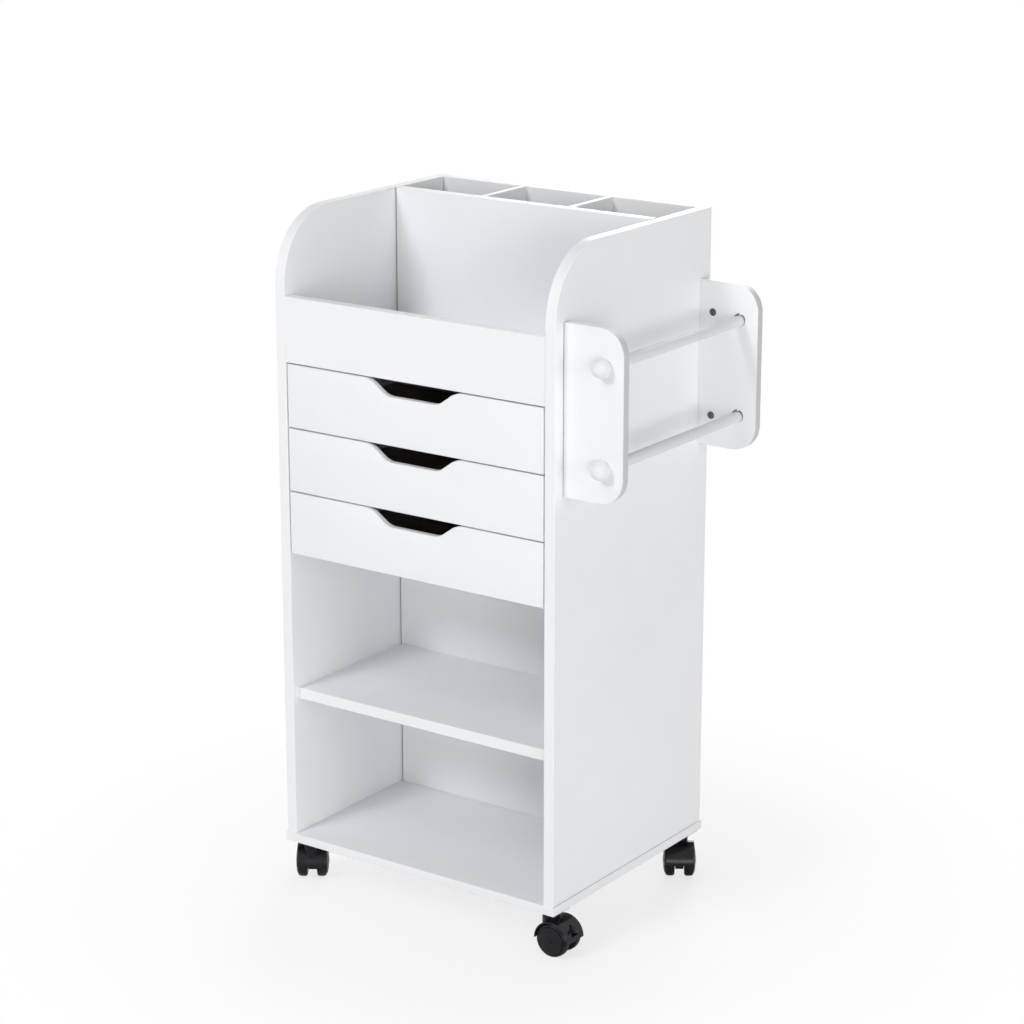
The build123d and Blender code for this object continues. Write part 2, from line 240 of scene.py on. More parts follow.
class CartScrews(bpy.types.PropertyGroup):
    """Sizes of the screws in the caster plates."""

    head: bpy.props.FloatProperty(
        name="Head", description="Across the pan head", unit="LENGTH", default=0.0072
    )
    head_height: bpy.props.FloatProperty(
        name="Head height", description="Height of the pan head", unit="LENGTH", default=0.0024
    )
    shank: bpy.props.FloatProperty(
        name="Shank", description="Across the shank in the hole of the plate", unit="LENGTH", default=0.0038
    )
    spacing: bpy.props.FloatProperty(
        name="Spacing", description="Between the screws of a plate, both ways", unit="LENGTH", default=0.028
    )
    plate: bpy.props.FloatProperty(
        name="Plate", description="Thickness of a caster plate", unit="LENGTH", default=0.0025
    )
    recess: bpy.props.FloatProperty(
        name="Recess", description="Across the arms of the cross recess", unit="LENGTH", default=0.0042
    )
    recess_arm: bpy.props.FloatProperty(
        name="Recess arm", description="Width of an arm of the recess", unit="LENGTH", default=0.0009
    )
    recess_depth: bpy.props.FloatProperty(
        name="Recess depth", description="Depth of the recess", unit="LENGTH", default=0.0014
    )


class CartNotches(bpy.types.PropertyGroup):
    """Sizes of the finger notches in the drawer fronts, before their corners are rounded."""

    width: bpy.props.FloatProperty(
        name="Width", description="Between the shoulders", unit="LENGTH", default=0.134
    )
    floor: bpy.props.FloatProperty(
        name="Floor", description="Between the corners of the floor", unit="LENGTH", default=0.08
    )
    depth: bpy.props.FloatProperty(
        name="Depth", description="From the top edge of the front to the floor", unit="LENGTH", default=0.0195
    )
    shoulder_reach: bpy.props.FloatProperty(
        name="Shoulder", description="How far a rounded shoulder reaches", unit="LENGTH", default=0.009
    )
    corner_reach: bpy.props.FloatProperty(
        name="Corner", description="How far a rounded floor corner reaches", unit="LENGTH", default=0.0075
    )
    edge: bpy.props.FloatProperty(
        name="Edge", description="Rounding of the edges of the front", unit="LENGTH", default=0.001
    )


class CartWheels(bpy.types.PropertyGroup):
    """Sizes of the moulded caster wheels, from the middle of a caster outwards."""

    radius: bpy.props.FloatProperty(
        name="Radius", description="Radius of the tread", unit="LENGTH", default=0.0225
    )
    inner_face: bpy.props.FloatProperty(
        name="Inner face", description="Middle of the caster to the inner face", unit="LENGTH", default=0.0065
    )
    inner_round: bpy.props.FloatProperty(
        name="Inner rounding", description="Rounding of the inner edge", unit="LENGTH", default=0.0034
    )
    outer_face: bpy.props.FloatProperty(
        name="Outer face", description="Middle of the caster to the outer face", unit="LENGTH", default=0.019
    )
    shoulder_reach: bpy.props.FloatProperty(
        name="Shoulder reach", description="Shoulder, along the radius", unit="LENGTH", default=0.0026
    )
    shoulder_rise: bpy.props.FloatProperty(
        name="Shoulder rise", description="Shoulder, along the axle", unit="LENGTH", default=0.0056
    )
    groove: bpy.props.FloatProperty(
        name="Groove", description="Depth of the groove round the disc", unit="LENGTH", default=0.001
    )
    disc_rise: bpy.props.FloatProperty(
        name="Disc rise", description="Edge of the disc past the outer face", unit="LENGTH", default=0.0008
    )
    disc_round: bpy.props.FloatProperty(
        name="Disc rounding", description="Rounding of the disc's edge", unit="LENGTH", default=0.0008
    )
    crown: bpy.props.FloatProperty(
        name="Crown", description="Middle of the disc past its edge", unit="LENGTH", default=0.0016
    )
    hub: bpy.props.FloatProperty(
        name="Hub", description="Radius of the hub cap", unit="LENGTH", default=0.0042
    )


class CartKnobs(bpy.types.PropertyGroup):
    """Sizes of the turned knobs of the rods."""

    ball: bpy.props.FloatProperty(
        name="Ball", description="Diameter of the ball", unit="LENGTH", default=0.024
    )
    flat: bpy.props.FloatProperty(
        name="Flat", description="Across the flat that meets the bracket", unit="LENGTH", default=0.0185
    )
    socket: bpy.props.FloatProperty(
        name="Socket", description="Diameter of the hole for the rod", unit="LENGTH", default=0.0141
    )
    socket_depth: bpy.props.FloatProperty(
        name="Socket depth", description="Depth of the hole for the rod", unit="LENGTH", default=0.013
    )
    edge: bpy.props.FloatProperty(
        name="Edge", description="Rounding round the flat", unit="LENGTH", default=0.0006
    )


class CartStage(bpy.types.PropertyGroup):
    """Camera, lamps and floor."""

    camera_place: bpy.props.FloatVectorProperty(
        name="Camera",
        description="Where the camera stands",
        subtype="TRANSLATION",
        size=3,
        default=(2.0307, -2.8786, 1.5526),
    )
    camera_target: bpy.props.FloatVectorProperty(
        name="Target",
        description="Point in the middle of the picture",
        subtype="TRANSLATION",
        size=3,
        default=(-0.0039, -0.0028, 0.5176),
    )
    lens: bpy.props.FloatProperty(
        name="Lens",
        description="Focal length on a 36 mm wide frame",
        unit="CAMERA",
        default=99.81,
    )
    key_power: bpy.props.FloatProperty(
        name="Key lamp",
        description="Lamp high in front, a little to the left, which gives the shadows",
        unit="POWER",
        default=150,
    )
    key_colour: bpy.props.FloatVectorProperty(
        name="Key colour",
        description="Colour of the key lamp, a little cooler than the others",
        subtype="COLOR",
        size=3,
        min=0,
        max=1,
        default=(0.94, 0.968, 1.0),
    )
    low_power: bpy.props.FloatProperty(
        name="Low lamp",
        description="Soft lamp low at the right front, which reaches into the bays",
        unit="POWER",
        default=82,
    )
    right_power: bpy.props.FloatProperty(
        name="Right lamp",
        description="Soft lamp on the side of the rack",
        unit="POWER",
        default=106,
    )
    top_power: bpy.props.FloatProperty(
        name="Top lamp",
        description="Large soft lamp above the front, which reaches into the tray",
        unit="POWER",
        default=76,
    )
    left_power: bpy.props.FloatProperty(
        name="Left lamp",
        description="Large soft lamp on the side without the rack",
        unit="POWER",
        default=58,
    )
    back_power: bpy.props.FloatProperty(
        name="Back lamp",
        description="Large soft lamp behind the cart, on the left",
        unit="POWER",
        default=230,
    )
    ambient: bpy.props.FloatProperty(
        name="Ambient",
        description="Even light from all around",
        min=0,
        default=0.25,
    )
    floor: bpy.props.FloatVectorProperty(
        name="Floor",
        description="Pale studio floor",
        subtype="COLOR",
        size=4,
        min=0,
        max=1,
        default=(0.9, 0.9, 0.9, 1),
    )


def put(tree, kind, sockets=None, **settings):
    """Adds a node, with settings, and sockets that take a value or a link."""
    node = tree.nodes.new(kind)
    for name, value in settings.items():
        setattr(node, name, value)
    for name, value in (sockets or {}).items():
        if isinstance(value, bpy.types.NodeSocket):
            tree.links.new(value, node.inputs[name])
        else:
            node.inputs[name].default_value = value
    return node


def object_place(tree):
    """Gives the place in the object's own coordinates."""
    return put(tree, "ShaderNodeTexCoord").outputs["Object"]


def noise(tree, scale, detail, roughness=0.5):
    """Gives a cloudy noise over the object's own coordinates."""
    sockets = {"Vector": object_place(tree), "Scale": scale, "Detail": detail, "Roughness": roughness}
    return put(tree, "ShaderNodeTexNoise", sockets).outputs["Fac"]


def stretch(tree, value, start=0, end=1, low=0, high=1, interpolation="LINEAR"):
    """Gives a value that goes from low to high while another goes from start to end."""
    sockets = {"Value": value, "From Min": start, "From Max": end, "To Min": low, "To Max": high}
    return put(tree, "ShaderNodeMapRange", sockets, interpolation_type=interpolation).outputs["Result"]


def times(tree, first, second):
    """Gives the product of two values."""
    return put(tree, "ShaderNodeMath", {0: first, 1: second}, operation="MULTIPLY").outputs[0]


def mix_colours(tree, share, first, second):
    """Gives the first colour, and the second one by a share."""
    return put(tree, "ShaderNodeMix", {0: share, 6: first, 7: second}, data_type="RGBA").outputs[2]


def toned(colour, share):
    """Gives a colour made darker or lighter."""
    return [share * part for part in colour[:3]] + [1]


def new_group(name, inputs, outputs):
    """Starts a shader node group with named sockets; gives its tree, its input node and its output node."""
    tree = bpy.data.node_groups.new(name, "ShaderNodeTree")
    for label, kind in inputs.items():
        tree.interface.new_socket(label, in_out="INPUT", socket_type=f"NodeSocket{kind}")
    for label, kind in outputs.items():
        tree.interface.new_socket(label, in_out="OUTPUT", socket_type=f"NodeSocket{kind}")
    return tree, put(tree, "NodeGroupInput"), put(tree, "NodeGroupOutput")


def paint_film_group():
    """Mottled colour, uneven gloss and the orange peel of rolled paint."""
    if "Paint film" in bpy.data.node_groups:
        return bpy.data.node_groups["Paint film"]
    tree, given, result = new_group(
        "Paint film",
        {"Colour": "Color", "Shade": "Color", "Roughness": "Float", "Peel Scale": "Float"},
        {"Colour": "Color", "Roughness": "Float", "Height": "Float"},
    )
    mottle = stretch(tree, noise(tree, scale=7, detail=4, roughness=0.55), start=0.35, end=0.7)
    colour = mix_colours(tree, mottle, given.outputs["Colour"], given.outputs["Shade"])
    gloss = noise(tree, scale=55, detail=3, roughness=0.6)
    uneven = stretch(tree, gloss, start=0.3, end=0.7, low=0.86, high=1.14)
    roughness = times(tree, given.outputs["Roughness"], uneven)
    tree.links.new(colour, result.inputs["Colour"])
    tree.links.new(roughness, result.inputs["Roughness"])
    tree.links.new(noise(tree, given.outputs["Peel Scale"], detail=2), result.inputs["Height"])
    return tree


def edge_wear_group():
    """Mask of the edges, broken up where hands and tools have not touched them."""
    if "Edge wear" in bpy.data.node_groups:
        return bpy.data.node_groups["Edge wear"]
    tree, given, result = new_group(
        "Edge wear", {"Width": "Float", "Amount": "Float", "Scale": "Float"}, {"Mask": "Float"}
    )
    rounded = put(tree, "ShaderNodeBevel", {"Radius": given.outputs["Width"]}, samples=6)
    true_normal = put(tree, "ShaderNodeNewGeometry").outputs["True Normal"]
    agree = put(
        tree, "ShaderNodeVectorMath", {0: rounded.outputs["Normal"], 1: true_normal}, operation="DOT_PRODUCT"
    )
    edge = stretch(tree, agree.outputs["Value"], start=0.98, end=0.82)
    breaks = noise(tree, given.outputs["Scale"], detail=5, roughness=0.65)
    worn = times(tree, edge, stretch(tree, breaks, start=0.42, end=0.68))
    tree.links.new(times(tree, worn, given.outputs["Amount"]), result.inputs["Mask"])
    return tree


def settled_dust_group():
    """Mask of dust that settles in patches on what faces up."""
    if "Settled dust" in bpy.data.node_groups:
        return bpy.data.node_groups["Settled dust"]
    tree, given, result = new_group("Settled dust", {"Amount": "Float", "Scale": "Float"}, {"Mask": "Float"})
    normal = put(tree, "ShaderNodeNewGeometry").outputs["Normal"]
    up = put(tree, "ShaderNodeSeparateXYZ", {"Vector": normal}).outputs["Z"]
    facing = stretch(tree, up, start=-0.2, low=0.15)
    patches = noise(tree, given.outputs["Scale"], detail=8, roughness=0.7)
    lying = times(tree, facing, stretch(tree, patches, start=0.45, end=0.8))
    tree.links.new(times(tree, lying, given.outputs["Amount"]), result.inputs["Mask"])
    return tree


def bore_group():
    """Mask of the wall of a round hole that runs along Y."""
    if "Bore" in bpy.data.node_groups:
        return bpy.data.node_groups["Bore"]
    tree, given, result = new_group("Bore", {"Centre": "Vector", "Radius": "Float"}, {"Mask": "Float"})
    offset = put(
        tree,
        "ShaderNodeVectorMath",
        {0: object_place(tree), 1: given.outputs["Centre"]},
        operation="SUBTRACT",
    )
    flat = put(
        tree, "ShaderNodeVectorMath", {0: offset.outputs["Vector"], 1: (1, 0, 1)}, operation="MULTIPLY"
    )
    away = put(tree, "ShaderNodeVectorMath", {0: flat.outputs["Vector"]}, operation="LENGTH")
    inside = put(
        tree,
        "ShaderNodeMath",
        {0: away.outputs["Value"], 1: given.outputs["Radius"]},
        operation="LESS_THAN",
    )
    tree.links.new(inside.outputs[0], result.inputs["Mask"])
    return tree


def place_group(tree, group, sockets):
    """Places a node group in a material with its own values."""
    return put(tree, "ShaderNodeGroup", sockets, node_tree=group)


def start_material(name):
    """New material with nodes; gives it, its tree and its Principled shader."""
    material = bpy.data.materials.new(name)
    material.use_nodes = True
    tree = material.node_tree
    return material, tree, tree.nodes["Principled BSDF"]


def feed_shader(tree, shader, colour, roughness, bump):
    """Links colour, roughness and bump to a Principled shader; a bump is its height, strength and depth."""
    height, strength, depth = bump
    relief = put(tree, "ShaderNodeBump", {"Height": height, "Strength": strength, "Distance": depth})
    tree.links.new(colour, shader.inputs["Base Color"])
    tree.links.new(roughness, shader.inputs["Roughness"])
    tree.links.new(relief.outputs["Normal"], shader.inputs["Normal"])


def painted_material(name, colour, shade, roughness, peel_scale, peel_height, specular=0.42):
    """Satin paint, with a slightly bare look along the edges."""
    material, tree, shader = start_material(name)
    film = place_group(
        tree,
        paint_film_group(),
        {"Colour": colour, "Shade": shade, "Roughness": roughness, "Peel Scale": peel_scale},
    )
    edges = place_group(tree, edge_wear_group(), {"Width": 0.0025, "Amount": 0.35, "Scale": 38})
    worn = mix_colours(tree, edges.outputs["Mask"], film.outputs["Colour"], THIN_PAINT)
    feed_shader(tree, shader, worn, film.outputs["Roughness"], (film.outputs["Height"], 1, peel_height))
    shader.inputs["Specular IOR Level"].default_value = specular
    return material


def board_paint(name, finishes):
    """Satin paint of the boards, with the orange peel of a roller."""
    return painted_material(
        name,
        finishes.paint,
        finishes.paint_shade,
        finishes.paint_gloss,
        peel_scale=620,
        peel_height=finishes.peel_height,
    )


def paint_over(material, share, colour):
    """Covers the colour of a material with another one by a share."""
    tree = material.node_tree
    target = tree.nodes["Principled BSDF"].inputs["Base Color"]
    tree.links.new(mix_colours(tree, share, target.links[0].from_socket, colour), target)


def bare_and_shade_the_bores(material, centres, colour):
    """Leaves the rod holes of a painted material in bare fibreboard, made near black so that it also carries
    painted shade deep in the holes.
    """
    tree = material.node_tree
    # Near-black bare board: partly its own colour, partly painted shade
    bare = mix_colours(tree, noise(tree, scale=900, detail=4), colour, toned(colour, 0.55))
    for centre in centres:
        bore = place_group(tree, bore_group(), {"Centre": centre, "Radius": BORE_RADIUS})
        paint_over(material, bore.outputs["Mask"], bare)


def paint_gap_shadow(material, start, end):
    """Paints the shadow of a gap into a painted material: a thin dark line that fades from one X to another.
    """
    tree = material.node_tree
    across = put(tree, "ShaderNodeSeparateXYZ", {"Vector": object_place(tree)}).outputs["X"]
    line = stretch(tree, across, start, end, low=1, high=0, interpolation="SMOOTHSTEP")
    paint_over(material, line, GAP_SHADOW)


def shade_the_outer_edge(material, colour):
    """Paints shade, as a darker and duller paint, on the edges that face +X in a painted material."""
    tree = material.node_tree
    normal = put(tree, "ShaderNodeTexCoord").outputs["Normal"]
    outwards = put(tree, "ShaderNodeSeparateXYZ", {"Vector": normal}).outputs["X"]
    paint_over(material, stretch(tree, outwards, start=0.35, end=0.95, interpolation="SMOOTHSTEP"), colour)


def hardboard_material(name, colour, under_colour):
    """Smooth pressed hardboard: brown, flecked with fibres, with a faint sheen and a white face below."""
    material, tree, shader = start_material(name)
    film = place_group(
        tree, paint_film_group(), {"Colour": colour, "Shade": toned(colour, 0.78), "Roughness": 0.46}
    )
    fibres = noise(tree, scale=420, detail=6, roughness=0.7)
    flecks = stretch(tree, fibres, start=0.52, end=0.72)
    flecked = mix_colours(tree, flecks, film.outputs["Colour"], toned(colour, 0.55))
    normal = put(tree, "ShaderNodeNewGeometry").outputs["Normal"]
    up = put(tree, "ShaderNodeSeparateXYZ", {"Vector": normal}).outputs["Z"]
    below = put(tree, "ShaderNodeMath", {0: up, 1: -0.5}, operation="LESS_THAN")
    faced = mix_colours(tree, below.outputs[0], flecked, under_colour)
    feed_shader(tree, shader, faced, film.outputs["Roughness"], (fibres, 0.6, 0.00008))
    shader.inputs["Specular IOR Level"].default_value = 0.3
    return material


def black_plastic_material(name, colour, dust, roughness):
    """Glossy moulded nylon with fine texture, worn edges and a little dust."""
    material, tree, shader = start_material(name)
    film = place_group(
        tree,
        paint_film_group(),
        {"Colour": colour, "Shade": toned(colour, 1.7), "Roughness": roughness, "Peel Scale": 1600},
    )
    edges = place_group(tree, edge_wear_group(), {"Width": 0.0012, "Amount": 0.16, "Scale": 160})
    lying = place_group(tree, settled_dust_group(), {"Amount": 0.03, "Scale": 90}).outputs["Mask"]
    scuffed = mix_colours(tree, edges.outputs["Mask"], film.outputs["Colour"], SCUFFED_NYLON)
    dusty = mix_colours(tree, lying, scuffed, dust)
    dull = put(
        tree,
        "ShaderNodeMath",
        {0: lying, 1: 1.5, 2: film.outputs["Roughness"]},
        operation="MULTIPLY_ADD",
    )
    feed_shader(tree, shader, dusty, dull.outputs[0], (film.outputs["Height"], 0.6, 0.00003))
    shader.inputs["Specular IOR Level"].default_value = 0.26
    return material


def zinc_material(name, colour):
    """Plated steel with a faint spangle and dull edges."""
    material, tree, shader = start_material(name)
    film = place_group(
        tree,
        paint_film_group(),
        {"Colour": colour, "Shade": toned(colour, 0.72), "Roughness": 0.34, "Peel Scale": 900},
    )
    edges = place_group(tree, edge_wear_group(), {"Width": 0.0008, "Amount": 0.5, "Scale": 220})
    rubbed = mix_colours(tree, edges.outputs["Mask"], film.outputs["Colour"], RUBBED_ZINC)
    feed_shader(tree, shader, rubbed, film.outputs["Roughness"], (film.outputs["Height"], 0.5, 0.00003))
    shader.inputs["Metallic"].default_value = 1
    return material


def finish_nodes(names, material):
    """Gives CAD pieces one material."""
    for name in names:
        mesh = frame["nodes"][name].data
        mesh.materials.clear()
        mesh.materials.append(material)


def choose(*pieces):
    """Selects these objects alone and makes the first one active."""
    bpy.ops.object.select_all(action="DESELECT")
    for piece in pieces:
        piece.select_set(True)
    bpy.context.view_layer.objects.active = pieces[0]


def place_copy(model, name, place, facing):
    """Copies a model that faces +X to a place, with its own mesh."""
    choose(model)
    bpy.ops.object.duplicate()
    piece = bpy.context.object
    piece.name = name
    piece.location = place
    piece.rotation_euler = facing.to_track_quat("X", "Z").to_euler()
    bpy.ops.object.transform_apply(location=True, rotation=True, scale=True)
    return piece


def pick_corners(front, middle, span):
    """Selects in edit mode the two vertices in the upper half of a front that stand a span apart."""
    bpy.ops.mesh.select_mode(type="VERT")
    bpy.ops.mesh.select_all(action="DESELECT")
    bpy.ops.object.mode_set(mode="OBJECT")
    for corner in front.data.vertices:
        aside = abs(corner.co.x - middle.x)
        corner.select = corner.co.z > middle.z and abs(aside - span / 2) < NEAR
    bpy.ops.object.mode_set(mode="EDIT")


def pick_faces(piece, *directions):
    """Selects in edit mode the faces that look in one of the directions."""
    bpy.ops.mesh.select_mode(type="FACE")
    bpy.ops.mesh.select_all(action="DESELECT")
    bpy.ops.object.mode_set(mode="OBJECT")
    for face in piece.data.polygons:
        face.select = any(face.normal.dot(Vector(way)) > FACING for way in directions)
    bpy.ops.object.mode_set(mode="EDIT")


class CART_OT_boards(bpy.types.Operator):
    """Paint the boards of the carcass and of the drawers"""

    bl_idname = "cart.boards"
    bl_label = "Paint the boards"

    def execute(self, context):
        finishes = context.scene.cart_finishes
        drawer_boards = [
            f"{drawer}_{board}" for drawer in DRAWERS for board in ("side_left", "side_right", "back")
        ]
        finish_nodes([*CARCASS_BOARDS, *drawer_boards], board_paint("satin_board_paint", finishes))
        inner_back = board_paint("inner_back_paint", finishes)
        low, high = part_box("inner_back_panel")
        # Painted gap shadows where the inner back meets the sides
        paint_gap_shadow(inner_back, low[0], low[0] + GAP_SHADOW_WIDTH)
        paint_gap_shadow(inner_back, high[0], high[0] - GAP_SHADOW_WIDTH)
        finish_nodes(["inner_back_panel"], inner_back)
        return {"FINISHED"}


class CART_OT_drawer_fronts(bpy.types.Operator):
    """Model the notched drawer fronts and give them the paint of the boards"""

    bl_idname = "cart.drawer_fronts"
    bl_label = "Model the drawer fronts"

    def execute(self, context):
        for drawer in DRAWERS:
            low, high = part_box(f"{drawer}_front")
            piece = model_front(context.scene.cart_notches, Vector(low), Vector(high))
            piece.name = f"notched_front_{drawer[-1]}"
            piece.data.materials.append(bpy.data.materials["satin_board_paint"])
            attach(piece, drawer)
            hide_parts(f"{drawer}_front")
        return {"FINISHED"}


def model_front(sizes, low, high):
    """Board with a finger notch in its top edge, all edges a little rounded."""
    bpy.ops.object.select_all(action="DESELECT")
    middle = (low + high) / 2
    bpy.ops.mesh.primitive_plane_add(
        size=1, location=(middle.x, low.y, middle.z), rotation=(math.pi / 2, 0, 0)
    )
    front = bpy.context.object
    front.scale = (high.x - low.x, high.z - low.z, 1)
    bpy.ops.object.transform_apply(location=True, rotation=True, scale=True)
    bpy.ops.object.mode_set(mode="EDIT")
    for across in (-sizes.width, -sizes.floor, sizes.floor, sizes.width):
        bpy.ops.mesh.select_all(action="SELECT")
        bpy.ops.mesh.bisect(plane_co=(middle.x + across / 2, 0, 0), plane_no=(1, 0, 0))
    pick_corners(front, middle, sizes.floor)
    bpy.ops.transform.translate(value=(0, 0, -sizes.depth))
    bpy.ops.mesh.select_all(action="SELECT")
    bpy.ops.mesh.dissolve_limited(angle_limit=math.radians(1), use_dissolve_boundaries=False)
    for span, reach in ((sizes.floor, sizes.corner_reach), (sizes.width, sizes.shoulder_reach)):
        pick_corners(front, middle, span)
        bpy.ops.mesh.bevel(offset=reach, segments=12, profile=0.5, affect="VERTICES")
    bpy.ops.mesh.select_all(action="SELECT")
    bpy.ops.mesh.extrude_region_move(TRANSFORM_OT_translate={"value": (0, high.y - low.y, 0)})
    bpy.ops.mesh.select_all(action="SELECT")
    bpy.ops.mesh.normals_make_consistent(inside=False)
    pick_faces(front, (0, -1, 0), (0, 1, 0))
    bpy.ops.mesh.bevel(offset=sizes.edge, segments=3, profile=0.5)
    bpy.ops.object.mode_set(mode="OBJECT")
    bpy.ops.object.shade_smooth_by_angle(angle=CREASE)
    return front


class CART_OT_drawer_insides(bpy.types.Operator):
    """Give the drawer bottoms their brown hardboard and colour the runners"""

    bl_idname = "cart.drawer_insides"
    bl_label = "Finish the drawer bottoms and runners"

    def execute(self, context):
        finishes = context.scene.cart_finishes
        hardboard = hardboard_material("brown_hardboard", finishes.hardboard, finishes.paint_shade)
        runner = painted_material(
            "moulded_runner",
            finishes.runner,
            finishes.runner,
            roughness=0.36,
            peel_scale=1500,
            peel_height=0.00002,
        )
        finish_nodes([f"{drawer}_bottom" for drawer in DRAWERS], hardboard)
        finish_nodes(["drawer_runners_left", "drawer_runners_right"], runner)
        return {"FINISHED"}


class CART_OT_rack(bpy.types.Operator):
    """Paint the brackets and rods of the rack, model its knobs and plate its cam locks"""

    bl_idname = "cart.rack"
    bl_label = "Finish the rack"

    def execute(self, context):
        finishes = context.scene.cart_finishes
        paint_brackets(finishes)
        rods = painted_material(
            "painted_turned_wood",
            finishes.turned_paint,
            finishes.turned_paint,
            roughness=0.34,
            peel_scale=420,
            peel_height=0.00003,
        )
        finish_nodes([f"rack_rod_{level}" for level in LEVELS], rods)
        knobs = painted_material(
            "painted_knob",
            finishes.knob_paint,
            finishes.knob_paint,
            roughness=0.5,
            peel_scale=420,
            peel_height=0.00003,
            specular=0.2,
        )
        model = model_knob(context.scene.cart_knobs)
        model.data.materials.append(knobs)
        for level in LEVELS:
            low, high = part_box(f"rack_knob_{level}")
            seat = ((low[0] + high[0]) / 2, high[1], (low[2] + high[2]) / 2)
            piece = place_copy(model, f"turned_knob_{level}", seat, Vector((0, -1, 0)))
            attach(piece, f"rod_{level}")
            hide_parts(f"rack_knob_{level}")
        bpy.data.objects.remove(model)
        finish_nodes(["rack_cam_locks"], zinc_material("cam_metal", finishes.cam_metal))
        return {"FINISHED"}


def paint_brackets(finishes):
    """Paints the brackets: rod holes in bare fibreboard that also carry painted shade, painted shade on the
    edges that face +X, and a painted gap shadow beside the front bracket.
    """
    holes = []
    for level in LEVELS:
        low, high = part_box(f"rack_rod_{level}")
        holes.append(((low[0] + high[0]) / 2, 0, (low[2] + high[2]) / 2 + ROD_SAG))
    for end in ("front", "rear"):
        bored = board_paint(f"{end}_bracket_paint", finishes)
        # Bare fibreboard with painted shade in the rod holes
        bare_and_shade_the_bores(bored, holes, finishes.bare_board_and_shade)
        # Painted shade on the bracket edges that face +X
        shade_the_outer_edge(bored, finishes.outer_edge_shade)
        if end == "front":
            inner_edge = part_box("rack_bracket_front")[0][0]
            # Painted shadow of the gap between the front bracket and the side panel
            paint_gap_shadow(bored, inner_edge, inner_edge + GAP_SHADOW_WIDTH)
        finish_nodes([f"rack_bracket_{end}"], bored)


def model_knob(sizes):
    """Ball knob that faces +X from a flat at the origin, with a socket for its rod."""
    bpy.ops.object.select_all(action="DESELECT")
    middle = math.sqrt(sizes.ball**2 - sizes.flat**2) / 2
    bpy.ops.mesh.primitive_uv_sphere_add(
        segments=64,
        ring_count=40,
        radius=sizes.ball / 2,
        location=(middle, 0, 0),
        rotation=(0, math.pi / 2, 0),
    )
    knob = bpy.context.object
    bpy.ops.object.transform_apply(location=True, rotation=True, scale=True)
    bpy.ops.object.mode_set(mode="EDIT")
    bpy.ops.mesh.select_all(action="SELECT")
    bpy.ops.mesh.bisect(plane_co=(0, 0, 0), plane_no=(1, 0, 0), use_fill=True, clear_inner=True)
    pick_faces(knob, (-1, 0, 0))
    bpy.ops.mesh.bevel(offset=sizes.edge, segments=3, profile=0.5)
    pick_faces(knob, (-1, 0, 0))
    bpy.ops.mesh.inset(thickness=(sizes.flat - sizes.socket) / 2 - sizes.edge, depth=0)
    bpy.ops.mesh.extrude_region_move(TRANSFORM_OT_translate={"value": (sizes.socket_depth, 0, 0)})
    bpy.ops.object.mode_set(mode="OBJECT")
    bpy.ops.object.shade_smooth_by_angle(angle=CREASE)
    return knob


class CART_OT_casters(bpy.types.Operator):
    """Finish the hoods, brakes, plates and axles of the casters"""

    bl_idname = "cart.casters"
    bl_label = "Finish the casters"

    def execute(self, context):
        finishes = context.scene.cart_finishes
        black = black_plastic_material("caster_nylon", finishes.black, finishes.dust, roughness=0.2)
        zinc = zinc_material("plate_zinc", finishes.zinc)
        finish_nodes([f"caster_hood_{corner}" for corner in CORNERS], black)
        finish_nodes([f"caster_brake_{corner}" for corner in BRAKED_CORNERS], black)
        finish_nodes([f"caster_plate_{corner}" for corner in CORNERS], zinc)
        finish_nodes([f"caster_axle_{corner}" for corner in CORNERS], zinc)
        return {"FINISHED"}


class CART_OT_wheels(bpy.types.Operator):
    """Model the moulded wheels of the casters"""

    bl_idname = "cart.wheels"
    bl_label = "Add the wheels"

    def execute(self, context):
        finishes = context.scene.cart_finishes
        model = model_wheel(context.scene.cart_wheels)
        model.data.materials.append(
            black_plastic_material("wheel_nylon", finishes.black, finishes.dust, roughness=0.22)
        )
        joints = {joint["name"]: joint for joint in frame["joints"]}
        for corner in CORNERS:
            for letter, side in (("a", 1), ("b", -1)):
                joint = joints[f"wheel_{corner}_{letter}_spin"]
                outwards = side * Vector(joint["axis"])
                piece = place_copy(model, f"moulded_wheel_{corner}_{letter}", joint["pos_m"], outwards)
                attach(piece, f"wheel_{corner}_{letter}")
                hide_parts(f"caster_wheel_{corner}_{letter}")
        bpy.data.objects.remove(model)
        return {"FINISHED"}


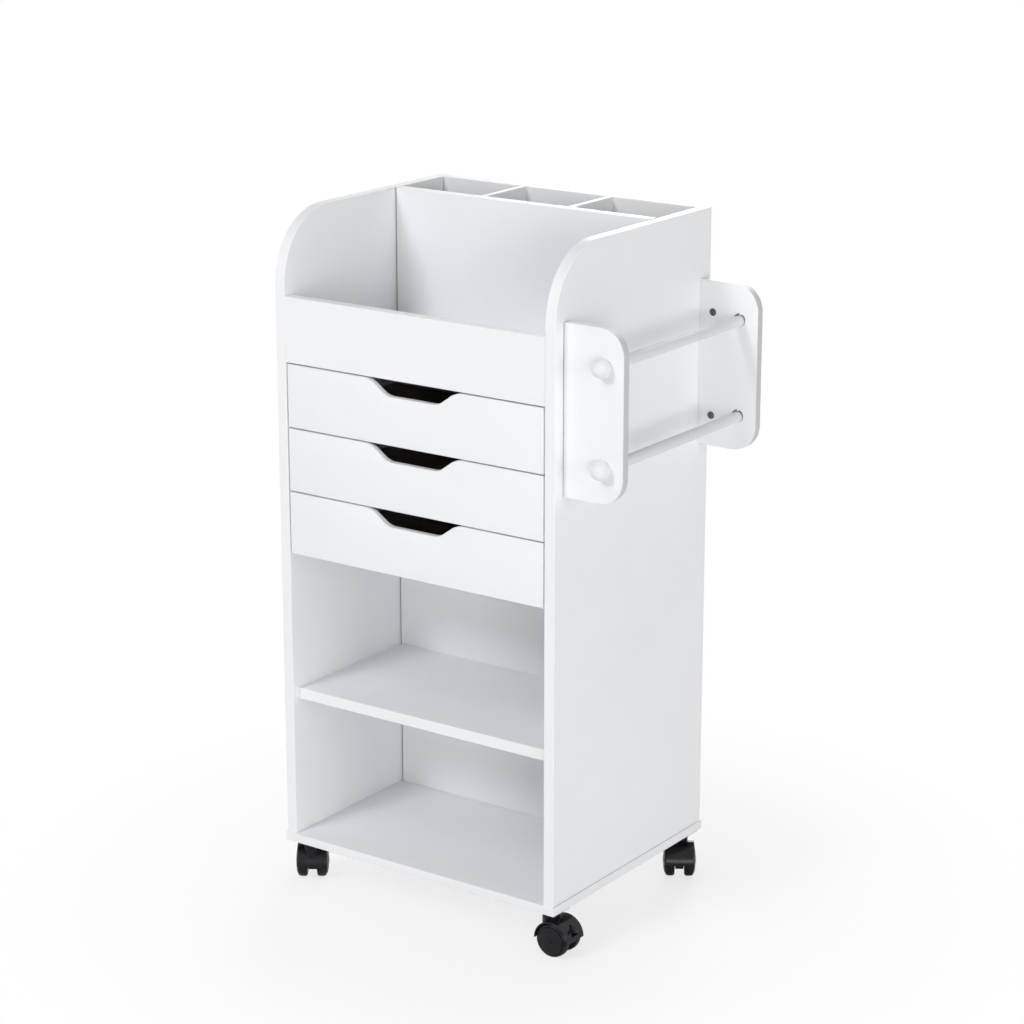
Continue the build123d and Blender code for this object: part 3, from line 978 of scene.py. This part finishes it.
def model_wheel(sizes):
    """Wheel about the origin that faces +X: rounded tread, a crowned disc in a groove, and a hub cap."""
    bpy.ops.object.select_all(action="DESELECT")
    tread_start = sizes.inner_face + sizes.inner_round
    tread_end = sizes.outer_face - sizes.shoulder_rise
    bpy.ops.mesh.primitive_cylinder_add(
        vertices=72,
        radius=sizes.radius,
        depth=tread_end - tread_start,
        location=((tread_start + tread_end) / 2, 0, 0),
        rotation=(0, math.pi / 2, 0),
    )
    wheel = bpy.context.object
    bpy.ops.object.transform_apply(location=True, rotation=True, scale=True)
    bpy.ops.object.mode_set(mode="EDIT")
    pick_faces(wheel, (-1, 0, 0))
    round_over(sizes.inner_round, sizes.inner_round, steps=5)
    pick_faces(wheel, (1, 0, 0))
    round_over(sizes.shoulder_reach, sizes.shoulder_rise, steps=8)
    cut_groove(sizes.groove, sizes.disc_rise)
    round_over(sizes.disc_round, sizes.disc_round / 2, steps=4)
    # The groove takes one and a half times its depth from the radius
    disc = sizes.radius - sizes.shoulder_reach - 3 * sizes.groove / 2 - sizes.disc_round
    round_over(disc - sizes.hub - sizes.groove, sizes.crown, steps=6, start=math.pi / 3)
    cut_groove(sizes.groove / 2, rise=0)
    round_over(sizes.disc_round, sizes.disc_round / 2, steps=3)
    bpy.ops.object.mode_set(mode="OBJECT")
    bpy.ops.object.shade_smooth_by_angle(angle=CREASE)
    return wheel


def round_over(reach, rise, steps, start=0.0):
    """Carries the selected cap inwards and outwards along an arc that ends flat."""
    angles = [start + (math.pi / 2 - start) * step / steps for step in range(steps + 1)]
    wide, deep = math.cos(start), 1 - math.sin(start)
    for first, last in zip(angles, angles[1:]):
        bpy.ops.mesh.inset(
            thickness=reach * (math.cos(first) - math.cos(last)) / wide,
            depth=rise * (math.sin(last) - math.sin(first)) / deep,
        )


def cut_groove(depth, rise):
    """Sinks a narrow groove round the selected cap, and lifts the cap inside it."""
    for thickness, lift in ((depth / 4, -depth), (depth, 0), (depth / 4, depth + rise)):
        bpy.ops.mesh.inset(thickness=thickness, depth=lift)


class CART_OT_plate_screws(bpy.types.Operator):
    """Model the pan head screws that hold the caster plates"""

    bl_idname = "cart.plate_screws"
    bl_label = "Add the plate screws"

    def execute(self, context):
        sizes = context.scene.cart_screws
        zinc = zinc_material("screw_zinc", context.scene.cart_finishes.zinc)
        for corner in CORNERS:
            low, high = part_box(f"caster_plate_{corner}")
            middle = Vector(((low[0] + high[0]) / 2, (low[1] + high[1]) / 2, high[2] - sizes.plate))
            screws = []
            for number, (side, end) in enumerate(((-1, -1), (1, -1), (1, 1), (-1, 1))):
                place = middle + Vector((side, end, 0)) * sizes.spacing / 2
                turn = math.radians(SCREW_TURN * number + CORNER_TURN * len(corner))
                screws.append(model_screw(sizes, place, turn))
            choose(*screws)
            bpy.ops.object.join()
            bpy.ops.object.transform_apply(location=True, rotation=True, scale=True)
            piece = context.object
            piece.name = f"caster_plate_screws_{corner}"
            piece.data.materials.append(zinc)
            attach(piece, "carcass")
        return {"FINISHED"}


def model_screw(sizes, place, turn):
    """Screw with a domed pan head below a plate, a cross recess, and its shank in the hole of the plate."""
    bpy.ops.object.select_all(action="DESELECT")
    bpy.ops.mesh.primitive_cylinder_add(
        vertices=28,
        radius=sizes.head / 2,
        depth=sizes.head_height,
        location=place - Vector((0, 0, sizes.head_height / 2)),
    )
    screw = bpy.context.object
    bpy.ops.object.mode_set(mode="EDIT")
    pick_faces(screw, (0, 0, -1))
    bpy.ops.mesh.bevel(offset=HEAD_DOME * sizes.head_height, segments=5, profile=0.5)
    pick_faces(screw, (0, 0, 1))
    bpy.ops.mesh.inset(thickness=(sizes.head - sizes.shank) / 2)
    bpy.ops.mesh.extrude_region_move(TRANSFORM_OT_translate={"value": (0, 0, sizes.plate)})
    bpy.ops.object.mode_set(mode="OBJECT")
    for arm_turn in (turn, turn + math.pi / 2):
        cut_recess_arm(screw, sizes, place, arm_turn)
    bpy.ops.object.shade_smooth_by_angle(angle=CREASE)
    return screw


def cut_recess_arm(screw, sizes, place, turn):
    """Cuts one arm of the cross recess, narrower at its bottom, and leaves the screw chosen."""
    bpy.ops.object.select_all(action="DESELECT")
    bpy.ops.mesh.primitive_cube_add(
        size=1,
        location=place - Vector((0, 0, sizes.head_height)),
        rotation=(0, 0, turn),
        scale=(sizes.recess, sizes.recess_arm, 2 * sizes.recess_depth),
    )
    cutter = bpy.context.object
    bpy.ops.object.mode_set(mode="EDIT")
    pick_faces(cutter, (0, 0, 1))
    bpy.ops.transform.resize(value=(RECESS_TAPER, RECESS_TAPER, 1))
    bpy.ops.object.mode_set(mode="OBJECT")
    choose(screw)
    recess = screw.modifiers.new("recess", "BOOLEAN")
    recess.object = cutter
    recess.operation = "DIFFERENCE"
    bpy.ops.object.modifier_apply(modifier=recess.name)
    bpy.data.objects.remove(cutter)


class CART_OT_stage(bpy.types.Operator):
    """Set the floor, the lamps, the surroundings and the camera"""

    bl_idname = "cart.stage"
    bl_label = "Set the stage"

    def execute(self, context):
        settings = context.scene.cart_stage
        make_floor(settings)
        for name, (place, width) in LAMPS.items():
            make_lamp(f"{name}_lamp", place, width, getattr(settings, f"{name}_power"))
        bpy.data.objects["key_lamp"].data.color = settings.key_colour
        make_surroundings(context, settings)
        make_camera(context, settings)
        context.scene.view_settings.view_transform = "Standard"
        return {"FINISHED"}


def make_floor(settings):
    """Pale floor that keeps the shadow, melts into the white background and is clear from below."""
    bpy.ops.object.select_all(action="DESELECT")
    bpy.ops.mesh.primitive_circle_add(vertices=96, radius=FLOOR_RADIUS, fill_type="NGON")
    floor = bpy.context.object
    floor.name = "studio_floor"
    material, tree, shader = start_material("studio_floor")
    shader.inputs["Base Color"].default_value = settings.floor
    shader.inputs["Roughness"].default_value = 0.7
    shader.inputs["Specular IOR Level"].default_value = 0.15
    away = put(tree, "ShaderNodeVectorMath", {0: object_place(tree)}, operation="LENGTH").outputs["Value"]
    fade = stretch(tree, away, start=0.2, end=0.75, low=0.74, interpolation="SMOOTHSTEP")
    seen = put(tree, "ShaderNodeLightPath").outputs["Is Camera Ray"]
    white = put(tree, "ShaderNodeEmission", {"Color": WHITE, "Strength": 1})
    lit = put(
        tree,
        "ShaderNodeMixShader",
        {0: times(tree, fade, seen), 1: shader.outputs["BSDF"], 2: white.outputs["Emission"]},
    )
    below = put(tree, "ShaderNodeNewGeometry").outputs["Backfacing"]
    clear = put(tree, "ShaderNodeBsdfTransparent")
    surface = put(
        tree,
        "ShaderNodeMixShader",
        {0: below, 1: lit.outputs["Shader"], 2: clear.outputs["BSDF"]},
    )
    tree.links.new(surface.outputs["Shader"], tree.nodes["Material Output"].inputs["Surface"])
    floor.data.materials.append(material)


def make_lamp(name, place, width, power):
    """Soft square lamp that faces the middle of the cart."""
    bpy.ops.object.select_all(action="DESELECT")
    bpy.ops.object.light_add(type="AREA", location=place)
    lamp = bpy.context.object
    lamp.name = name
    lamp.data.size = width
    lamp.data.energy = power
    lamp.rotation_euler = (LAMP_AIM - Vector(place)).to_track_quat("-Z", "Y").to_euler()


def make_surroundings(context, settings):
    """Even light all round, and plain white where it is seen or mirrored."""
    world = bpy.data.worlds.new("studio")
    context.scene.world = world
    world.use_nodes = True
    tree = world.node_tree
    path = put(tree, "ShaderNodeLightPath")
    shown = path.outputs["Is Camera Ray"]
    for ray in ("Is Glossy Ray", "Is Transmission Ray"):
        shown = put(tree, "ShaderNodeMath", {0: shown, 1: path.outputs[ray]}, operation="MAXIMUM").outputs[0]
    background = tree.nodes["Background"]
    background.inputs["Color"].default_value = WHITE
    tree.links.new(stretch(tree, shown, low=settings.ambient), background.inputs["Strength"])


def make_camera(context, settings):
    """Camera at the viewing angle of the picture."""
    bpy.ops.object.select_all(action="DESELECT")
    place = Vector(settings.camera_place)
    aim = Vector(settings.camera_target) - place
    bpy.ops.object.camera_add(location=place, rotation=aim.to_track_quat("-Z", "Y").to_euler())
    camera = bpy.context.object
    camera.name = "picture_camera"
    camera.data.sensor_width = FRAME_WIDTH
    camera.data.lens = settings.lens
    context.scene.camera = camera


class CART_PT_sidebar(bpy.types.Panel):
    """Buttons for the finishes and the stage."""

    bl_idname = "CART_PT_sidebar"
    bl_label = "Drawer cart"
    bl_space_type = "VIEW_3D"
    bl_region_type = "UI"
    bl_category = "Cart"

    def draw(self, context):
        for operator in STEPS:
            self.layout.operator(operator.bl_idname)


SETTINGS = {
    "cart_finishes": CartFinishes,
    "cart_screws": CartScrews,
    "cart_notches": CartNotches,
    "cart_wheels": CartWheels,
    "cart_knobs": CartKnobs,
    "cart_stage": CartStage,
}
STEPS = (
    CART_OT_boards,
    CART_OT_drawer_fronts,
    CART_OT_drawer_insides,
    CART_OT_rack,
    CART_OT_casters,
    CART_OT_wheels,
    CART_OT_plate_screws,
    CART_OT_stage,
)
CLASSES = (*SETTINGS.values(), *STEPS, CART_PT_sidebar)


def register():
    for kind in CLASSES:
        bpy.utils.register_class(kind)
    for name, group in SETTINGS.items():
        setattr(bpy.types.Scene, name, bpy.props.PointerProperty(type=group))


def unregister():
    for name in SETTINGS:
        delattr(bpy.types.Scene, name)
    for kind in reversed(CLASSES):
        bpy.utils.unregister_class(kind)


def main():
    """Finishes the cart step by step."""
    register()
    bpy.ops.cart.boards()
    bpy.ops.cart.drawer_fronts()
    bpy.ops.cart.drawer_insides()
    bpy.ops.cart.rack()
    bpy.ops.cart.casters()
    bpy.ops.cart.wheels()
    bpy.ops.cart.plate_screws()
    bpy.ops.cart.stage()


if __name__ == "__main__":
    main()
